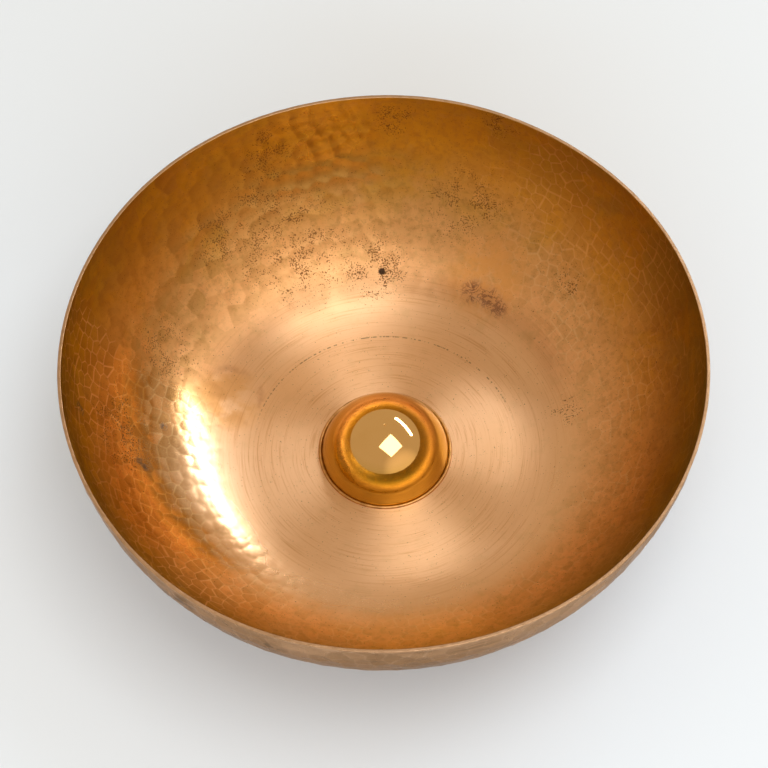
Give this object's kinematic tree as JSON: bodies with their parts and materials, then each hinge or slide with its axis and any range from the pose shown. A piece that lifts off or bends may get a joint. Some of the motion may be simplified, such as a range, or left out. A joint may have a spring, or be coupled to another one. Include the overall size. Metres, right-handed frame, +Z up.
{
  "type": "hammered copper bowl",
  "caption": "Round hammered copper bowl on a foot ring, with a turned flat floor and a polished domed boss in the middle.",
  "frame": {"origin": "centre of the circle that the foot ring stands on", "axes": "+Z up along the bowl's axis, out through its mouth; X and Y are equal, because the bowl is round"},
  "size_m": [0.3, 0.3, 0.0985],
  "materials": {
    "hammered_copper": "hammered wall, turned floor, lightly tarnished",
    "plain_copper": "plain, lightly tarnished copper",
    "polished_copper": "mirror polished",
    "fastener_brass": "turned brass",
    "seal_rubber": "matt black rubber"
  },
  "bodies": {
    "root": {"bowl_shell": "hammered_copper", "foot_ring": "plain_copper", "boss_dome": "polished_copper", "boss_bezel": "plain_copper", "boss_stud": "fastener_brass", "sealing_washer": "seal_rubber", "flat_washer": "fastener_brass", "stud_nut": "fastener_brass"}
  },
  "joints": []
}
